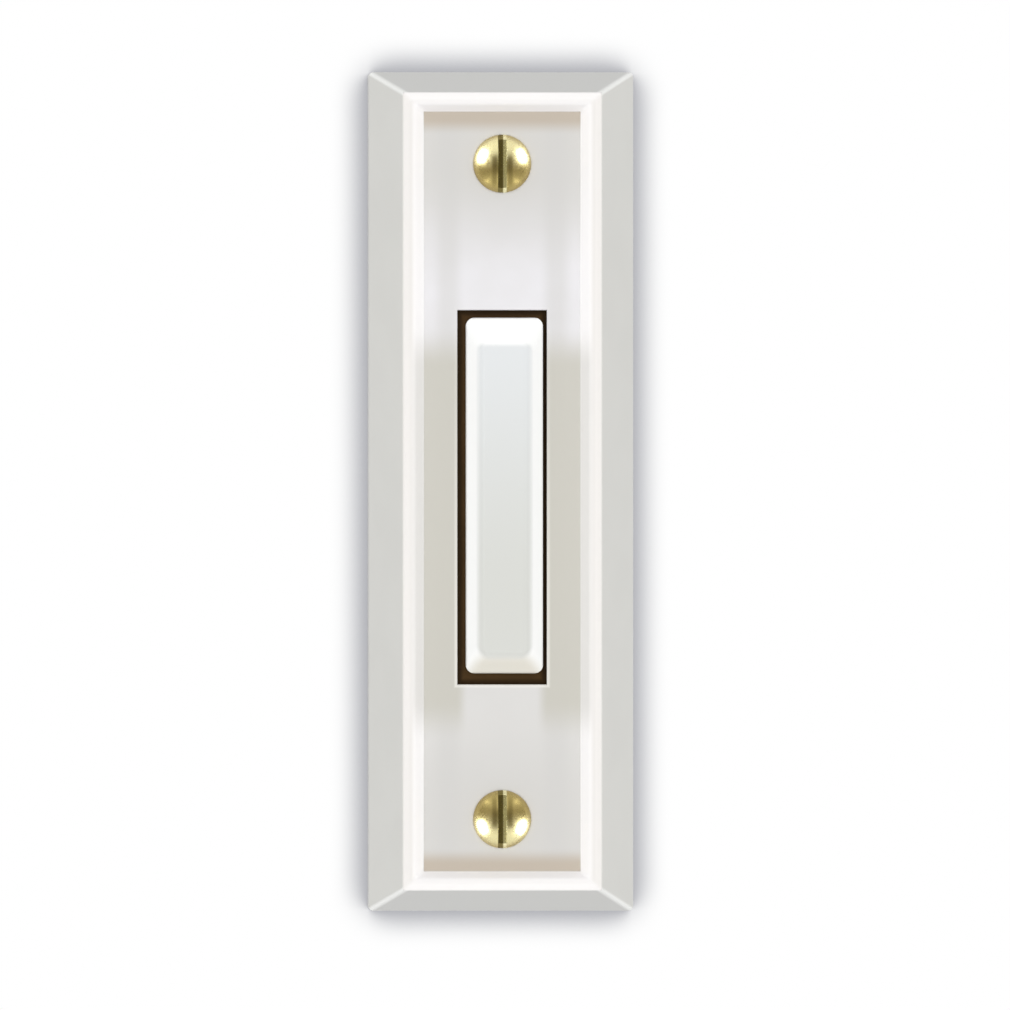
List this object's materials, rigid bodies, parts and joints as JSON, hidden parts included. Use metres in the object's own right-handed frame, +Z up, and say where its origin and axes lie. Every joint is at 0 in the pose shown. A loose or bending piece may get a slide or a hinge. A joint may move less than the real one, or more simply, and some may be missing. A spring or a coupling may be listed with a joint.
{
  "type": "doorbell push button",
  "caption": "Surface-mounted doorbell push button: bevelled housing with a recessed panel, sprung lit push bar and slotted mounting screws.",
  "frame": {"origin": "centre of the housing's back rim, on the wall plane", "axes": "+Z up along the housing, +Y into the wall, +X to the right as seen from the front"},
  "size_m": [0.027, 0.0274, 0.0856],
  "materials": {
    "housing_white": "semi-gloss moulded plastic, off-white",
    "bar_milk": "translucent milk-white plastic, polished",
    "carrier_brown": "dark brown moulded plastic, matte",
    "plate_brown": "dark brown insulating plate, matte",
    "leaf_bronze": "cold-rolled bronze strip, satin",
    "contact_silver": "silver-faced contact rivet",
    "spring_steel": "drawn spring wire, bright",
    "lamp_glass": "clear glass tube",
    "lead_tinned": "tinned wire with a dot of solder",
    "nut_brass": "brass bar, sawn and tapped",
    "terminal_brass": "turned brass screw, satin",
    "washer_steel": "pressed steel, zinc plated",
    "screw_brass": "bright brass-plated wood screw"
  },
  "bodies": {
    "housing": {"front_housing": "housing_white", "base_plate": "plate_brown", "contact_leaf": "leaf_bronze", "fixed_strip": "leaf_bronze", "fixed_contact": "contact_silver", "return_spring_upper": "spring_steel", "return_spring_lower": "spring_steel", "lamp_bulb": "lamp_glass", "lamp_lead_left": "lead_tinned", "lamp_lead_right": "lead_tinned", "terminal_nut_left": "nut_brass", "terminal_nut_right": "nut_brass", "terminal_washer_left": "washer_steel", "terminal_washer_right": "washer_steel", "terminal_screw_left": "terminal_brass", "terminal_screw_right": "terminal_brass", "mounting_screw_upper": "screw_brass", "mounting_screw_lower": "screw_brass"},
    "bar": {"push_bar": "bar_milk", "bar_carrier": "carrier_brown", "moving_contact": "contact_silver"}
  },
  "joints": [
    {"name": "bar_press", "type": "slide", "parent": "housing", "child": "bar", "axis": [0, 1, 0], "range_m": [0, 0.001], "stiffness_N_per_m": 900, "springref_m": -0.0015, "deforming": ["contact_leaf", "return_spring_upper", "return_spring_lower"]}
  ]
}
